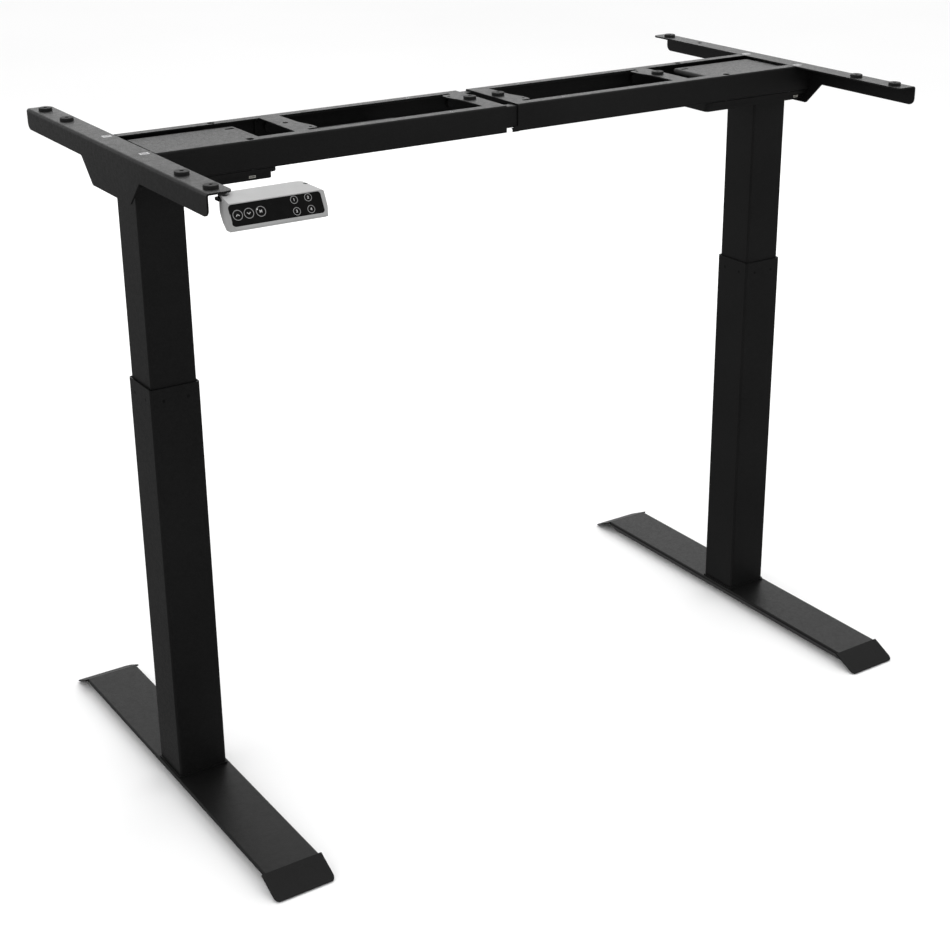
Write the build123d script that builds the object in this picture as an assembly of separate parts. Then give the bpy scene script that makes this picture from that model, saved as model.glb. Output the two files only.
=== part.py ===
from build123d import *
import os
from math import sqrt

# Standing desk frame: two lifting columns on feet, joined by a beam that slides
# to width.  Millimetres, +Z up, origin on the floor in the middle of the frame.
# X runs along the beam, -Y is the side where the user stands.

# Overall
COLUMN_SPACING = 1070.0
FRAME_TOP = 964.0
COLUMN_X = COLUMN_SPACING / 2
SHEET = 2.0
HEAVY_SHEET = 2.5

# Foot: one folded sheet, flanks turned in, ends turned down
FOOT_WIDTH = 91.5
FOOT_TOP = 22.5
FOOT_LIP = 2.0
FOOT_FLAT_HALF = 316.0
FOOT_HALF_LENGTH = 358.0
FOOT_FLANK_IN = 17.0
FOOT_NOSE_RADIUS = 9.0
FOOT_BOLT_OFFSET = 23.0
FOOT_BOLT_RADIUS = 4.0
FOOT_BOLT_HEAD = (6.5, 5.5)
BASE_PLATE = (78.0, 3.0)

# Levelling feet
LEVELLER_Y = 292.0
LEVELLER_PAD = (14.0, 4.5)
LEVELLER_STUD_RADIUS = 4.0
LEVELLER_STUD_TOP = 18.5
LEVELLER_BOSS = (9.0, 7.0)

# Two-stage column
OUTER_TUBE = (73.5, 1.5, 4.0)
OUTER_TUBE_TOP = 633.0
INNER_TUBE = (67.5, 1.6, 3.5)
INNER_TUBE_BOTTOM = 300.0
GLIDE_GAP = 0.3
UPPER_GLIDE_SPAN = (603.0, 632.0)
LOWER_GLIDE_SPAN = (302.0, 342.0)
SNAP_PIN = (2.3, 18.0, 615.0)

# Spindle drive
PUSH_TUBE = (17.0, 13.5, 560.0)
PUSH_TUBE_FLANGE = (20.0, 4.0)
NUT_PLUG_BOTTOM = 540.0
NUT_HEIGHT = 12.0
SPINDLE_RADIUS = 8.0
SPINDLE_BOTTOM = 310.0
SPINDLE_STOP = (13.2, 8.0)
SPINDLE_COLLAR = (11.0, 920.5, 924.2)
WHEEL_RADIUS = 18.0
PINION_RADIUS = 12.0
WHEEL_BACK = 924.6
WHEEL_DEPTH = 6.0
PINION_DEPTH = 8.0
GEAR_BACKLASH = 0.4
SHAFT_RADIUS = 4.0
BEARING = (16.0, 8.2, 909.5, 920.0)
GEARBOX_HALF = (33.0, 31.0)
GEARBOX_CAVITY = (27.0, 25.0, 924.2, 952.0)
MOTOR_RADIUS = 20.0
MOTOR_LENGTH = 104.0

# Motor tray under the beam
TRAY_BOTTOM = 906.5
TRAY_HALF_WIDTH = 55.0
TRAY_INNER_END = 381.0
TRAY_RIM_HALF_WIDTH = 64.5
TRAY_RIM_END = 377.0
TRAY_RIM_LIP = 7.0
SPINDLE_OPENING = 12.0
SOCKET_X = {"left": 411.0, "right": 571.0}
SOCKET_SIZE = (10.0, 5.0, 3.4)
SOCKET_LOW = 3.0

# Head plate over each motor
HEAD_PLATE_TOP = 960.5
HEAD_PLATE_HALF_WIDTH = 39.5
HEAD_PLATE_SPAN = (387.0, 545.0)
HEAD_PLATE_LIP = (6.0, 7.0)
CABLE_SLOT = (402.0, 27.0, 14.0, 6.0)

# Beam: two halves of C rails that slide over a pair of inner rails
RAIL_HEIGHT = 40.0
RAIL_OUTER_Y = 70.0
RAIL_FLANGE = 17.0
RAIL_BEND = 2.5
HALF_GAP = 10.0
RAIL_TONGUE = (9.0, 8.0)
ACCESS_HOLE = (414.0, 60.5, 5.5)
RAIL_BOLT_Y = 61.0
RAIL_BOLT_XS = (414.0, 548.0)
SET_SCREW = (98.0, 60.0, 2.5)
SLIDE_CLEARANCE = 0.3
SLIDE_BOTTOM = 930.0
SLIDE_SHEET = 1.8
SLIDE_HALF_LENGTH = 345.0
WELD_NUT_XS = (-323.0, -20.0, 329.0)
WELD_NUT = (8.0, 4.0, 948.0)

# Cross plates between the rails
CROSS_PLATE_WIDTH = 30.0
CROSS_PLATE_XS = (328.0, 25.0)
CROSS_PLATE_EAR = (9.0, 18.0, 7.0, 8.0)
CROSS_PLATE_HOLE_Y = 5.0

# Table-top brackets
BRACKET_HALF_LENGTH = 298.0
BRACKET_OUTER_X = 588.5
BRACKET_FLANGE = 35.5
BRACKET_BEND = 4.0
BRACKET_ARM_BOTTOM = 935.0
BRACKET_DEEP_BOTTOM = 900.5
BRACKET_SLOPE_Y = (97.0, 63.0)
BRACKET_CORNERS = (10.0, 5.0)
BRACKET_SLOT = (564.0, 62.0, 12.0, 10.0)
PAD_X = 570.0
PAD_YS = (272.0, 190.0)
PAD_RADIUS = 9.5
PAD_HEIGHT = 4.0
PAD_STEM_RADIUS = 4.0
PAD_BORE = 2.75

# Control box in the left half of the beam
CONTROL_X = (-292.0, -140.0)
CONTROL_HALF_WIDTH = 34.0
CONTROL_TOP = 944.0
CONTROL_WALL = 2.0
CONTROL_EAR = (12.0, 3.0, 63.0)
CONTROL_SOCKETS = 4

# Handset under the front end of the left bracket
HANDSET_X = (-581.5, -454.0)
HANDSET_TOP = 958.5
HANDSET_BACK = -281.0
HANDSET_BACK_LEFT = -565.5
HANDSET_FRONT = -350.0
HANDSET_PANEL_TOP = (-335.5, 957.3)
HANDSET_PANEL_BOTTOM = (-347.6, 933.6)
HANDSET_TOP_WALL = 3.0
HANDSET_WALL = 2.2
HANDSET_HOLES = (-511.2, 106.2, -297.5, 2.9)
HANDSET_PLAN_CORNERS = (7.0, 11.0, 5.0)
HANDSET_EDGE = 2.5
PANEL_X = (-579.3, -459.2)
PANEL_THICKNESS = 1.5
HANDSET_TAB = ((-572.8, -552.0), (-299.0, -284.0), 3.0)
HANDSET_TAB_NECK = ((-564.0, -553.5), -279.0, -276.5)
HANDSET_SCREW_X = -556.0
HANDSET_SCREW_YS = (-287.0, -294.0)
HANDSET_SCREW = (1.5, 2.6, 2.3)

SIDES = {"left": -1, "right": 1}
ENDS = {"front": -1, "back": 1}

os.makedirs("parts", exist_ok=True)


def save(shape, node):
    export_step(shape, f"parts/{node}.step")


def block(x, y, z):
    """Box between two values on each axis."""
    size = [abs(pair[1] - pair[0]) for pair in (x, y, z)]
    middle = [(pair[0] + pair[1]) / 2 for pair in (x, y, z)]
    return Pos(*middle) * Box(*size)


def rod(radius, low, high, x=0.0, y=0.0):
    """Upright cylinder between two heights."""
    return Pos(x, y, (low + high) / 2) * Cylinder(radius, high - low)


def rod_along_x(radius, x, y, z):
    middle = (x[0] + x[1]) / 2
    return Pos(middle, y, z) * Rot(0, 90, 0) * Cylinder(radius, abs(x[1] - x[0]))


def square_tube(outside, wall, corner, low, high):
    profile = RectangleRounded(outside, outside, corner)
    profile -= RectangleRounded(outside - 2 * wall, outside - 2 * wall, max(corner - wall, 0.5))
    return Pos(0, 0, low) * extrude(profile, high - low)


def folded(points, radius, sheet):
    """Profile of a sheet that lies on the right of the path, with rounded outer bends."""
    path = FilletPolyline(*points, radius=radius)
    face = Face(path.offset_2d(sheet, side=Side.RIGHT, closed=True))
    return face if face.normal_at().Z > 0 else -face


def on_side(shape, side):
    """A shape drawn for the right-hand side, on the side asked for."""
    return shape if side == "right" else mirror(shape, about=Plane.YZ)


def at_end(shape, end):
    """A shape drawn for the back, at the end asked for."""
    return shape if end == "back" else mirror(shape, about=Plane.XZ)


def group(solids):
    return Compound(children=list(solids))


# ---------------------------------------------------------------- lower leg

def corners(offset_x, offset_y):
    return [(sx * offset_x, sy * offset_y) for sx in (-1, 1) for sy in (-1, 1)]


def foot():
    half = FOOT_WIDTH / 2
    section = folded(
        [
            (-half + FOOT_FLANK_IN, FOOT_LIP),
            (-half, FOOT_TOP),
            (half, FOOT_TOP),
            (half - FOOT_FLANK_IN, FOOT_LIP),
        ],
        3.0,
        HEAVY_SHEET,
    )
    body = extrude(Plane.XZ * section, FOOT_FLAT_HALF, both=True)
    run = FOOT_HALF_LENGTH - FOOT_FLAT_HALF
    drop = FOOT_TOP - FOOT_LIP
    length = sqrt(run * run + drop * drop)
    step_y = -HEAVY_SHEET * drop / length
    step_z = -HEAVY_SHEET * run / length
    nose = Polygon(
        (FOOT_FLAT_HALF, FOOT_TOP),
        (FOOT_HALF_LENGTH, FOOT_LIP),
        (FOOT_HALF_LENGTH + step_y, FOOT_LIP + step_z + HEAVY_SHEET * 0.6),
        (FOOT_FLAT_HALF - 0.6, FOOT_TOP - HEAVY_SHEET),
        align=None,
    )
    flap = extrude(Plane.YZ * nose, half, both=True)
    body = body + flap + mirror(flap, about=Plane.XZ)
    plan = extrude(RectangleRounded(FOOT_WIDTH, 2 * FOOT_HALF_LENGTH, FOOT_NOSE_RADIUS), 2 * FOOT_TOP)
    body = body & plan
    inside_top = FOOT_TOP - HEAVY_SHEET
    for end in ENDS.values():
        y = end * LEVELLER_Y
        body += rod(LEVELLER_BOSS[0], LEVELLER_BOSS[1], inside_top, y=y)
        body -= rod(LEVELLER_STUD_RADIUS + 0.25, 0, inside_top, y=y)
    for x, y in corners(FOOT_BOLT_OFFSET, FOOT_BOLT_OFFSET):
        body -= rod(FOOT_BOLT_RADIUS, inside_top - 1, FOOT_TOP + 1, x, y)
    return body


def base_with_push_tube():
    """Base plate of the column with the push tube welded on it."""
    top = FOOT_TOP + BASE_PLATE[1]
    plate = Pos(0, 0, FOOT_TOP) * extrude(RectangleRounded(BASE_PLATE[0], BASE_PLATE[0], 5), BASE_PLATE[1])
    for x, y in corners(FOOT_BOLT_OFFSET, FOOT_BOLT_OFFSET):
        plate -= rod(FOOT_BOLT_RADIUS, FOOT_TOP - 1, top + 1, x, y)
    plate += rod(PUSH_TUBE_FLANGE[0], top, top + PUSH_TUBE_FLANGE[1])
    plate += rod(PUSH_TUBE[0], top, PUSH_TUBE[2])
    return plate - rod(PUSH_TUBE[1], top + PUSH_TUBE_FLANGE[1], PUSH_TUBE[2] + 1)


def foot_bolts(x_centre):
    head_top = FOOT_TOP - HEAVY_SHEET
    bolts = []
    for x, y in corners(FOOT_BOLT_OFFSET, FOOT_BOLT_OFFSET):
        radius, height = FOOT_BOLT_HEAD
        head = Pos(x, y, head_top - height) * extrude(RegularPolygon(radius, 6), height)
        bolts.append(head + rod(FOOT_BOLT_RADIUS, head_top, FOOT_TOP + BASE_PLATE[1], x, y))
    return Pos(x_centre, 0, 0) * group(bolts)


def snap_pins(length_from, length_to):
    """Two round pins on each face of the column, near the top of the outer tube."""
    radius, offset, height = SNAP_PIN
    span = length_to - length_from
    middle = (length_from + length_to) / 2
    pins = []
    for sign in (-1, 1):
        for along in (-offset, offset):
            pins.append(Pos(sign * middle, along, height) * Rot(0, 90, 0) * Cylinder(radius, span))
            pins.append(Pos(along, sign * middle, height) * Rot(90, 0, 0) * Cylinder(radius, span))
    return pins


def lower_column():
    outside, wall, corner = OUTER_TUBE
    tube = square_tube(outside, wall, corner, FOOT_TOP + BASE_PLATE[1], OUTER_TUBE_TOP)
    for pin in snap_pins(outside / 2 - 2 * wall, outside / 2 + wall):
        tube -= pin
    return tube


def upper_glides():
    """Plastic collar clipped into the mouth of the outer tube."""
    outside, wall, corner = OUTER_TUBE
    bore = outside - 2 * wall
    thickness = (bore - INNER_TUBE[0]) / 2 - GLIDE_GAP
    low, high = UPPER_GLIDE_SPAN
    collar = square_tube(bore, thickness, corner - wall, low, high)
    for pin in snap_pins(bore / 2 - thickness / 2, outside / 2):
        collar += pin
    return collar


def spindle_nut():
    top = PUSH_TUBE[2]
    nut = rod(PUSH_TUBE[1], NUT_PLUG_BOTTOM, top) + rod(PUSH_TUBE[0], top, top + NUT_HEIGHT)
    return nut - rod(SPINDLE_RADIUS + GLIDE_GAP, NUT_PLUG_BOTTOM - 1, top + NUT_HEIGHT + 1)


def leveller():
    radius, height = LEVELLER_PAD
    pad = rod(radius, 0, height)
    pad = chamfer(pad.edges().group_by(Axis.Z)[-1], 1.2)
    return pad + rod(LEVELLER_STUD_RADIUS, height, LEVELLER_STUD_TOP)


# ---------------------------------------------------------------- lifting column and drive

def upper_column():
    outside, wall, corner = INNER_TUBE
    return square_tube(outside, wall, corner, INNER_TUBE_BOTTOM, TRAY_BOTTOM)


def lower_glides():
    """Plastic collar clipped round the foot of the inner tube."""
    bore = OUTER_TUBE[0] - 2 * OUTER_TUBE[1]
    outside = bore - 2 * GLIDE_GAP
    return square_tube(outside, (outside - INNER_TUBE[0]) / 2, INNER_TUBE[2], *LOWER_GLIDE_SPAN)


def spindle():
    radius, low, high = SPINDLE_COLLAR
    screw = rod(SPINDLE_RADIUS, SPINDLE_BOTTOM, WHEEL_BACK + WHEEL_DEPTH) + rod(radius, low, high)
    return screw + rod(SPINDLE_STOP[0], SPINDLE_BOTTOM, SPINDLE_BOTTOM + SPINDLE_STOP[1])


def bevel_wheel():
    small = WHEEL_RADIUS * (1 - WHEEL_DEPTH / PINION_RADIUS)
    middle = WHEEL_BACK + WHEEL_DEPTH / 2
    cone = Pos(0, 0, middle) * Cone(WHEEL_RADIUS, small, WHEEL_DEPTH)
    return cone - rod(SPINDLE_RADIUS, WHEEL_BACK - 1, WHEEL_BACK + WHEEL_DEPTH + 1)


PINION_Z = WHEEL_BACK + PINION_RADIUS


def bevel_pinion():
    """Pinion on the motor's output shaft, on the side of the column towards -X."""
    small = PINION_RADIUS * (1 - PINION_DEPTH / WHEEL_RADIUS)
    middle = -WHEEL_RADIUS + PINION_DEPTH / 2
    cone = Cone(PINION_RADIUS - GEAR_BACKLASH, small - GEAR_BACKLASH, PINION_DEPTH)
    gear = Pos(middle, 0, PINION_Z) * Rot(0, 90, 0) * cone
    gear += rod_along_x(6.0, (-WHEEL_RADIUS - 4, -WHEEL_RADIUS), 0, PINION_Z)
    return gear + rod_along_x(SHAFT_RADIUS, (-GEARBOX_HALF[0] - 8, -WHEEL_RADIUS), 0, PINION_Z)


def spindle_bearing():
    outer, inner, low, high = BEARING
    ring = rod(outer, low, high) - rod(inner, low - 1, high + 1)
    groove = (outer + inner) / 2
    for end in (low, high):
        ring -= rod(groove + 1.5, end - 0.8, end + 0.8) - rod(groove - 1.5, end - 0.8, end + 0.8)
    return ring


def gearbox():
    half_x, half_y = GEARBOX_HALF
    cavity_x, cavity_y, cavity_low, cavity_high = GEARBOX_CAVITY
    low = TRAY_BOTTOM + SHEET
    high = HEAD_PLATE_TOP - HEAVY_SHEET
    case = Pos(0, 0, low) * extrude(RectangleRounded(2 * half_x, 2 * half_y, 6), high - low)
    case -= block((-cavity_x, cavity_x), (-cavity_y, cavity_y), (cavity_low, cavity_high))
    case -= rod(BEARING[0], BEARING[2], cavity_low + 1)
    case -= rod(SPINDLE_RADIUS + 2, low - 1, BEARING[2] + 1)
    return case - rod_along_x(SHAFT_RADIUS + GLIDE_GAP, (-half_x - 1, -cavity_x + 1), 0, PINION_Z)


def motor():
    """Geared motor along the beam; its planetary stage is inside the can."""
    start = -GEARBOX_HALF[0]
    end = start - MOTOR_LENGTH
    can = rod_along_x(MOTOR_RADIUS, (end + 14, start - 34), 0, PINION_Z)
    can += rod_along_x(MOTOR_RADIUS - 1.5, (start - 34, start), 0, PINION_Z)
    cap = rod_along_x(MOTOR_RADIUS - 1.0, (end, end + 14), 0, PINION_Z)
    can += fillet(cap.edges().group_by(Axis.X)[0], 3.0)
    return can - rod_along_x(SHAFT_RADIUS + GLIDE_GAP, (start - 9, start + 1), 0, PINION_Z)


# ---------------------------------------------------------------- beam, drawn for the right half

def tray_rim(inset, top, depth):
    """Rounded block the shape of the tray's rim; it runs on past the bracket."""
    start = TRAY_RIM_END + inset
    half = TRAY_RIM_HALF_WIDTH - inset
    outline = RectangleRounded(2 * (700 - start), 2 * half, 10 - inset)
    return Pos(700, 0, top - depth) * extrude(outline, depth)


def motor_tray(side):
    web_face = BRACKET_OUTER_X - HEAVY_SHEET
    rim_top = FRAME_TOP - RAIL_HEIGHT
    rim_low = rim_top - HEAVY_SHEET
    pan = block((TRAY_INNER_END, web_face), (-TRAY_HALF_WIDTH, TRAY_HALF_WIDTH), (TRAY_BOTTOM, rim_top))
    pan = fillet(pan.edges().filter_by(Axis.Z).group_by(Axis.X)[0], 6.0)
    rim = tray_rim(0.0, rim_top, TRAY_RIM_LIP)
    rim = fillet(rim.edges().group_by(Axis.Z)[-1], 2.8)
    rim -= tray_rim(SHEET, rim_low, TRAY_RIM_LIP)
    rim &= block((0, web_face), (-100, 100), (0, rim_top))
    inner_y = TRAY_HALF_WIDTH - SHEET
    inner_z = (TRAY_BOTTOM + SHEET, rim_top + 1)
    hollow = block((TRAY_INNER_END + SHEET, web_face + 1), (-inner_y, inner_y), inner_z)
    hollow = fillet(hollow.edges().filter_by(Axis.Z).group_by(Axis.X)[0], 4.0)
    tray = pan + rim - hollow - rod(SPINDLE_OPENING, TRAY_BOTTOM - 1, TRAY_BOTTOM + SHEET + 1, COLUMN_X)
    tray -= socket_block(side, 1.0)
    for x in RAIL_BOLT_XS:
        for end in ENDS.values():
            tray -= rod(3.0, rim_low - 1, rim_top + 1, x, end * RAIL_BOLT_Y)
    return tray


def socket_block(side, extra=0.0):
    """Space of the motor lead's socket in the front wall of the tray."""
    length, depth, height = SOCKET_SIZE
    x = SOCKET_X[side]
    low = TRAY_BOTTOM + SOCKET_LOW
    front = -TRAY_HALF_WIDTH
    span = (x - length / 2, x + length / 2)
    return block(span, (front - extra, front + depth + extra), (low, low + height))


def motor_socket(side):
    """Plastic inlet flush with the tray wall, open to the front."""
    length, depth, height = SOCKET_SIZE
    x = SOCKET_X[side]
    low = TRAY_BOTTOM + SOCKET_LOW
    front = -TRAY_HALF_WIDTH
    body = socket_block(side)
    wall = 0.9
    mouth = block(
        (x - length / 2 + wall, x + length / 2 - wall),
        (front - 1, front + depth - 1.5),
        (low + wall, low + height - wall),
    )
    return body - mouth


def head_plate():
    start, end = HEAD_PLATE_SPAN
    radius, drop = HEAD_PLATE_LIP
    top = HEAD_PLATE_TOP
    section = folded([(start, top - drop), (start, top), (end, top)], radius, HEAVY_SHEET)
    plate = extrude(Plane.XZ * section, HEAD_PLATE_HALF_WIDTH, both=True)
    plan = RectangleRounded(2 * (end - start), 2 * HEAD_PLATE_HALF_WIDTH, 5)
    plate = plate & (Pos(end, 0, 900) * extrude(plan, 100))
    x, y, length, width = CABLE_SLOT
    slot = Pos(x, y, 900) * extrude(SlotOverall(length, width), 100)
    return plate - slot


def outer_rail(side, end):
    """C rail of one beam half: open towards the middle, its top flange joggled under the bracket."""
    low = FRAME_TOP - RAIL_HEIGHT
    web_face = BRACKET_OUTER_X - HEAVY_SHEET
    flange_edge = RAIL_OUTER_Y - RAIL_FLANGE
    section = folded(
        [
            (flange_edge, FRAME_TOP),
            (RAIL_OUTER_Y, FRAME_TOP),
            (RAIL_OUTER_Y, low),
            (flange_edge, low),
        ],
        RAIL_BEND,
        SHEET,
    )
    rail = Pos(HALF_GAP, 0, 0) * extrude(Plane.YZ * section, web_face - HALF_GAP, dir=(1, 0, 0))
    bracket_edge = BRACKET_OUTER_X - BRACKET_FLANGE
    under_bracket = FRAME_TOP - HEAVY_SHEET - 0.2
    above = (under_bracket, FRAME_TOP + 1)
    rail -= block((bracket_edge - 0.3, web_face + 1), (flange_edge - 1, RAIL_OUTER_Y + 1), above)
    rail -= block((bracket_edge - 1.6, bracket_edge), (57, RAIL_OUTER_Y + 1), above)
    rail += block(
        (bracket_edge - 4, web_face),
        (flange_edge + 2, RAIL_OUTER_Y - SHEET),
        (under_bracket - SHEET, under_bracket),
    )
    bend_room = (under_bracket - 2, FRAME_TOP)
    rail -= block((web_face - 2, web_face + 1), (flange_edge, RAIL_OUTER_Y + 1), bend_room)
    x, y, length, width = BRACKET_SLOT
    tab_x = (x - length / 2, x + length / 2)
    tab_y = (y - width / 2, y + width / 2)
    rail += block(tab_x, tab_y, (under_bracket, FRAME_TOP))
    x, y, radius = ACCESS_HOLE
    rail -= rod(radius, FRAME_TOP - SHEET - 1, FRAME_TOP + 1, x, y)
    for x in RAIL_BOLT_XS:
        rail -= rod(3.0, low - 1, low + SHEET + 1, x, RAIL_BOLT_Y)
    x, y, radius = SET_SCREW
    rail -= rod(radius, FRAME_TOP - SHEET - 1, FRAME_TOP + 1, x, y)
    if (side, end) in (("right", "front"), ("left", "back")):
        length, height = RAIL_TONGUE
        root = length + 2
        outline = Polygon((0, 0), (0, height - 3), (3, height), (root, height), (root, 0), align=None)
        tongue = Pos(HALF_GAP - length, 0, low) * extrude(Plane.XZ * outline, SHEET, dir=(0, 1, 0))
        rail += Pos(0, RAIL_OUTER_Y - SHEET, 0) * tongue
    return rail


def slide_rail(end):
    """Inner C rail, fixed to the left half; the right half slides on it."""
    top = FRAME_TOP - SHEET - SLIDE_CLEARANCE
    outer_y = RAIL_OUTER_Y - SHEET - SLIDE_CLEARANCE
    edge = RAIL_OUTER_Y - RAIL_FLANGE
    section = folded(
        [(edge, top), (outer_y, top), (outer_y, SLIDE_BOTTOM), (edge, SLIDE_BOTTOM)],
        2.0,
        SLIDE_SHEET,
    )
    rail = extrude(Plane.YZ * section, SLIDE_HALF_LENGTH, both=True)
    radius, depth, height = WELD_NUT
    face = outer_y - SLIDE_SHEET
    for x in WELD_NUT_XS:
        rail += Pos(x, face - depth / 2, height) * Rot(90, 0, 0) * Cylinder(radius, depth)
    return at_end(rail, end)


def cross_plate(x_centre, ear_towards):
    """Plate welded flush between the rails; one corner is a free ear with a hole."""
    half_y = RAIL_OUTER_Y - RAIL_FLANGE
    half_x = CROSS_PLATE_WIDTH / 2
    ear, ear_length, slot, slot_depth = CROSS_PLATE_EAR
    ear_low = slot - half_y
    tip = half_x + ear
    outline = Polygon(
        (-half_x, -half_y),
        (half_x - slot_depth, -half_y),
        (half_x - slot_depth, ear_low),
        (tip, ear_low),
        (tip, ear_low + ear_length),
        (half_x + 2, ear_low + ear_length + 26),
        (half_x, half_y),
        (-half_x, half_y),
        align=None,
    )
    ends = [v for v in outline.vertices() if v.X > tip - 0.1]
    outline = fillet(ends, 5.0)
    plate = Pos(0, 0, FRAME_TOP - SHEET) * extrude(outline, SHEET, dir=(0, 0, 1))
    plate -= rod(2.4, FRAME_TOP - SHEET - 1, FRAME_TOP + 1, tip - 7, ear_low + 10)
    turn = 0 if ear_towards == "front" else 180
    hole_side = 1 if ear_towards == "front" else -1
    plate -= rod(PAD_STEM_RADIUS, FRAME_TOP - SHEET - 1, FRAME_TOP + 1, 0, hole_side * CROSS_PLATE_HOLE_Y)
    return Pos(x_centre, 0, 0) * Rot(0, 0, turn) * plate


def side_bracket():
    low = BRACKET_DEEP_BOTTOM
    section = folded(
        [
            (BRACKET_OUTER_X - BRACKET_FLANGE, FRAME_TOP),
            (BRACKET_OUTER_X, FRAME_TOP),
            (BRACKET_OUTER_X, low),
        ],
        BRACKET_BEND,
        HEAVY_SHEET,
    )
    angle = extrude(Plane.XZ * section, BRACKET_HALF_LENGTH, both=True)
    far, near = BRACKET_SLOPE_Y
    arm = BRACKET_ARM_BOTTOM
    end = BRACKET_HALF_LENGTH
    outline = Polygon(
        (-end, FRAME_TOP + 5),
        (-end, arm),
        (-far, arm),
        (-near, low),
        (near, low),
        (far, arm),
        (end, arm),
        (end, FRAME_TOP + 5),
        align=None,
    )
    end_radius, arm_radius = BRACKET_CORNERS
    outline = fillet([v for v in outline.vertices() if v.Y < FRAME_TOP and abs(v.X) < end], arm_radius)
    outline = fillet([v for v in outline.vertices() if v.Y < FRAME_TOP and abs(v.X) == end], end_radius)
    profile = extrude(Plane.YZ * outline, 2 * BRACKET_OUTER_X, dir=(1, 0, 0))
    plan = Pos(BRACKET_OUTER_X - BRACKET_FLANGE + 100, 0, 0) * extrude(
        RectangleRounded(200, 2 * end, 9), FRAME_TOP + 10
    )
    bracket = angle & profile & plan
    for end_sign in ENDS.values():
        for y in PAD_YS:
            bracket -= rod(PAD_STEM_RADIUS, FRAME_TOP - 4, FRAME_TOP + 1, PAD_X, end_sign * y)
        x, y, length, width = BRACKET_SLOT
        y *= end_sign
        bracket -= block(
            (x - length / 2, x + length / 2), (y - width / 2, y + width / 2), (FRAME_TOP - 4, FRAME_TOP + 1)
        )
    return bracket


def pad(x, y, sheet):
    """Rubber pad: a disc on the sheet, a stem in its hole, and a bore for the table-top screw."""
    disc = rod(PAD_RADIUS, FRAME_TOP, FRAME_TOP + PAD_HEIGHT)
    disc = fillet(disc.edges().group_by(Axis.Z)[-1], 1.0)
    disc += rod(PAD_STEM_RADIUS, FRAME_TOP - sheet, FRAME_TOP)
    disc -= rod(PAD_BORE, FRAME_TOP - sheet - 1, FRAME_TOP + PAD_HEIGHT + 1)
    return Pos(x, y, 0) * disc


def beam_screws():
    """Hexagon bolts that hold the tray to the rails, and set screws that clamp the slide rails."""
    low = FRAME_TOP - RAIL_HEIGHT
    screws = []
    for sign in ENDS.values():
        for x in RAIL_BOLT_XS:
            seat = low + SHEET
            head = Pos(x, sign * RAIL_BOLT_Y, seat) * extrude(RegularPolygon(5.5, 6), 4.0)
            screws.append(head + rod(3.0, low - HEAVY_SHEET, seat, x, sign * RAIL_BOLT_Y))
        x, y, radius = SET_SCREW
        point = FRAME_TOP - SHEET - 0.1
        grub = rod(radius, point, FRAME_TOP - 0.2, x, sign * y)
        socket = Pos(x, sign * y, FRAME_TOP - 1.2) * extrude(RegularPolygon(1.4, 6), 2)
        screws.append(grub - socket)
    return group(screws)


# ---------------------------------------------------------------- control box

def control_case():
    low = FRAME_TOP - RAIL_HEIGHT + SHEET
    half = CONTROL_HALF_WIDTH
    wall = CONTROL_WALL
    ear_length, ear_thickness, ear_reach = CONTROL_EAR
    case = block(CONTROL_X, (-half, half), (low, CONTROL_TOP - wall))
    case = fillet(case.edges().filter_by(Axis.Z), 4.0)
    case -= block(
        (CONTROL_X[0] + wall, CONTROL_X[1] - wall), (-half + wall, half - wall), (low + wall, CONTROL_TOP)
    )
    for x in CONTROL_X:
        inward = 1 if x == CONTROL_X[0] else -1
        start = x + inward * 6
        for sign in ENDS.values():
            ear = block(
                (start, start + inward * ear_length),
                (sign * (half - 1), sign * ear_reach),
                (low, low + ear_thickness),
            )
            case += ear
    pitch = 2 * (half - 8) / CONTROL_SOCKETS
    for index in range(CONTROL_SOCKETS):
        y = -half + 8 + pitch * (index + 0.5)
        case -= block((CONTROL_X[1] - wall - 1, CONTROL_X[1] + 1), (y - 4.5, y + 4.5), (low + 5, low + 12))
    return case


def control_lid():
    half = CONTROL_HALF_WIDTH
    lid = block(CONTROL_X, (-half, half), (CONTROL_TOP - CONTROL_WALL, CONTROL_TOP))
    return fillet(lid.edges().filter_by(Axis.Z), 4.0)


# ---------------------------------------------------------------- handset

def handset_plan(inset):
    """View from above: the left side runs in towards the back, all corners round."""
    x0, x1 = HANDSET_X
    back = HANDSET_BACK - inset
    outline = Polygon(
        (x0 + inset, HANDSET_FRONT),
        (x1 - inset, HANDSET_FRONT),
        (x1 - inset, back),
        (HANDSET_BACK_LEFT + inset, back),
        align=None,
    )
    front_corner, back_right, back_left = (max(r - inset, 1.0) for r in HANDSET_PLAN_CORNERS)
    outline = fillet([v for v in outline.vertices() if v.Y < HANDSET_FRONT + 1], front_corner)
    outline = fillet([v for v in outline.vertices() if v.X > x1 - inset - 1 and v.Y > back - 1], back_right)
    return fillet([v for v in outline.vertices() if v.X < -500 and v.Y > back - 1], back_left)


def handset_body(profile, top, inset):
    """Solid that has the given side view, the plan, and rounded top edges left and right."""
    x0, x1 = HANDSET_X
    body = Pos(x0 - 5, 0, 0) * extrude(Plane.YZ * profile, x1 - x0 + 10, dir=(1, 0, 0))
    body = body & Pos(0, 0, 900) * extrude(handset_plan(inset), 100, dir=(0, 0, 1))
    edge = max(HANDSET_EDGE - inset, 1.0)
    face = RectangleRounded(x1 - x0 - 2 * inset, 100, edge)
    front = Pos((x0 + x1) / 2, 0, top - 50) * extrude(Plane.XZ * face, 400, both=True)
    return body & front


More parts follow.
